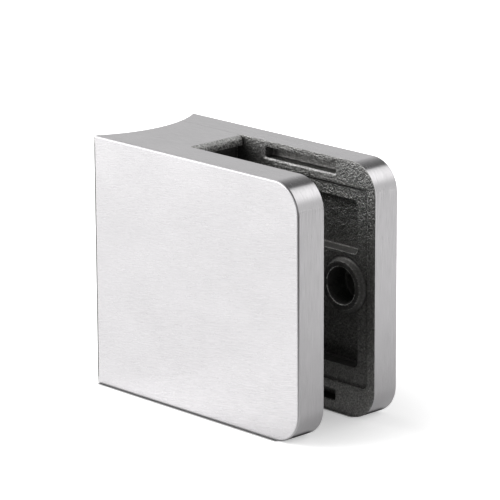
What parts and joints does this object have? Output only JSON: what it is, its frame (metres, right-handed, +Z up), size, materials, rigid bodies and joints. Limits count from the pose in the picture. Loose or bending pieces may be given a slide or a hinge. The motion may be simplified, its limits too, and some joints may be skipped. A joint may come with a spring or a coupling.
{
  "type": "glass panel clamp",
  "caption": "Square clamp that grips a glass panel between a cast body and a screwed cover, with a saddle at its back for a round post.",
  "frame": {"origin": "on the ground under the middle of the clamp, halfway along its length and its thickness", "axes": "+X from the post to the free edge where the panel goes in, +Y from the body's outer face to the cover's outer face, +Z up along the post"},
  "size_m": [0.05, 0.0238, 0.045],
  "materials": {
    "cast_steel": "satin brushed outside, bead-blasted casting inside the slot",
    "screw_steel": "plain stainless, turned"
  },
  "bodies": {
    "body": {"body": "cast_steel"},
    "cover": {"cover": "cast_steel"},
    "screw_upper": {"cover_screw_upper": "screw_steel"},
    "screw_lower": {"cover_screw_lower": "screw_steel"}
  },
  "joints": [
    {"name": "cover_slide", "type": "slide", "parent": "body", "child": "cover", "axis": [0, 1, 0], "range_m": [0, 0.006]},
    {"name": "screw_upper_turn", "type": "hinge", "parent": "cover", "child": "screw_upper", "pos_m": [-0.0152, 0.01175, 0.0345], "axis": [0, 1, 0], "range_deg": [0, 2160]},
    {"name": "screw_lower_turn", "type": "hinge", "parent": "cover", "child": "screw_lower", "pos_m": [-0.0152, 0.01175, 0.0105], "axis": [0, 1, 0], "range_deg": [0, 2160]}
  ],
  "couplings": [
    {"joint": "screw_upper_turn", "follows": "cover_slide", "rad_per_m": 6283.2},
    {"joint": "screw_lower_turn", "follows": "cover_slide", "rad_per_m": 6283.2}
  ]
}
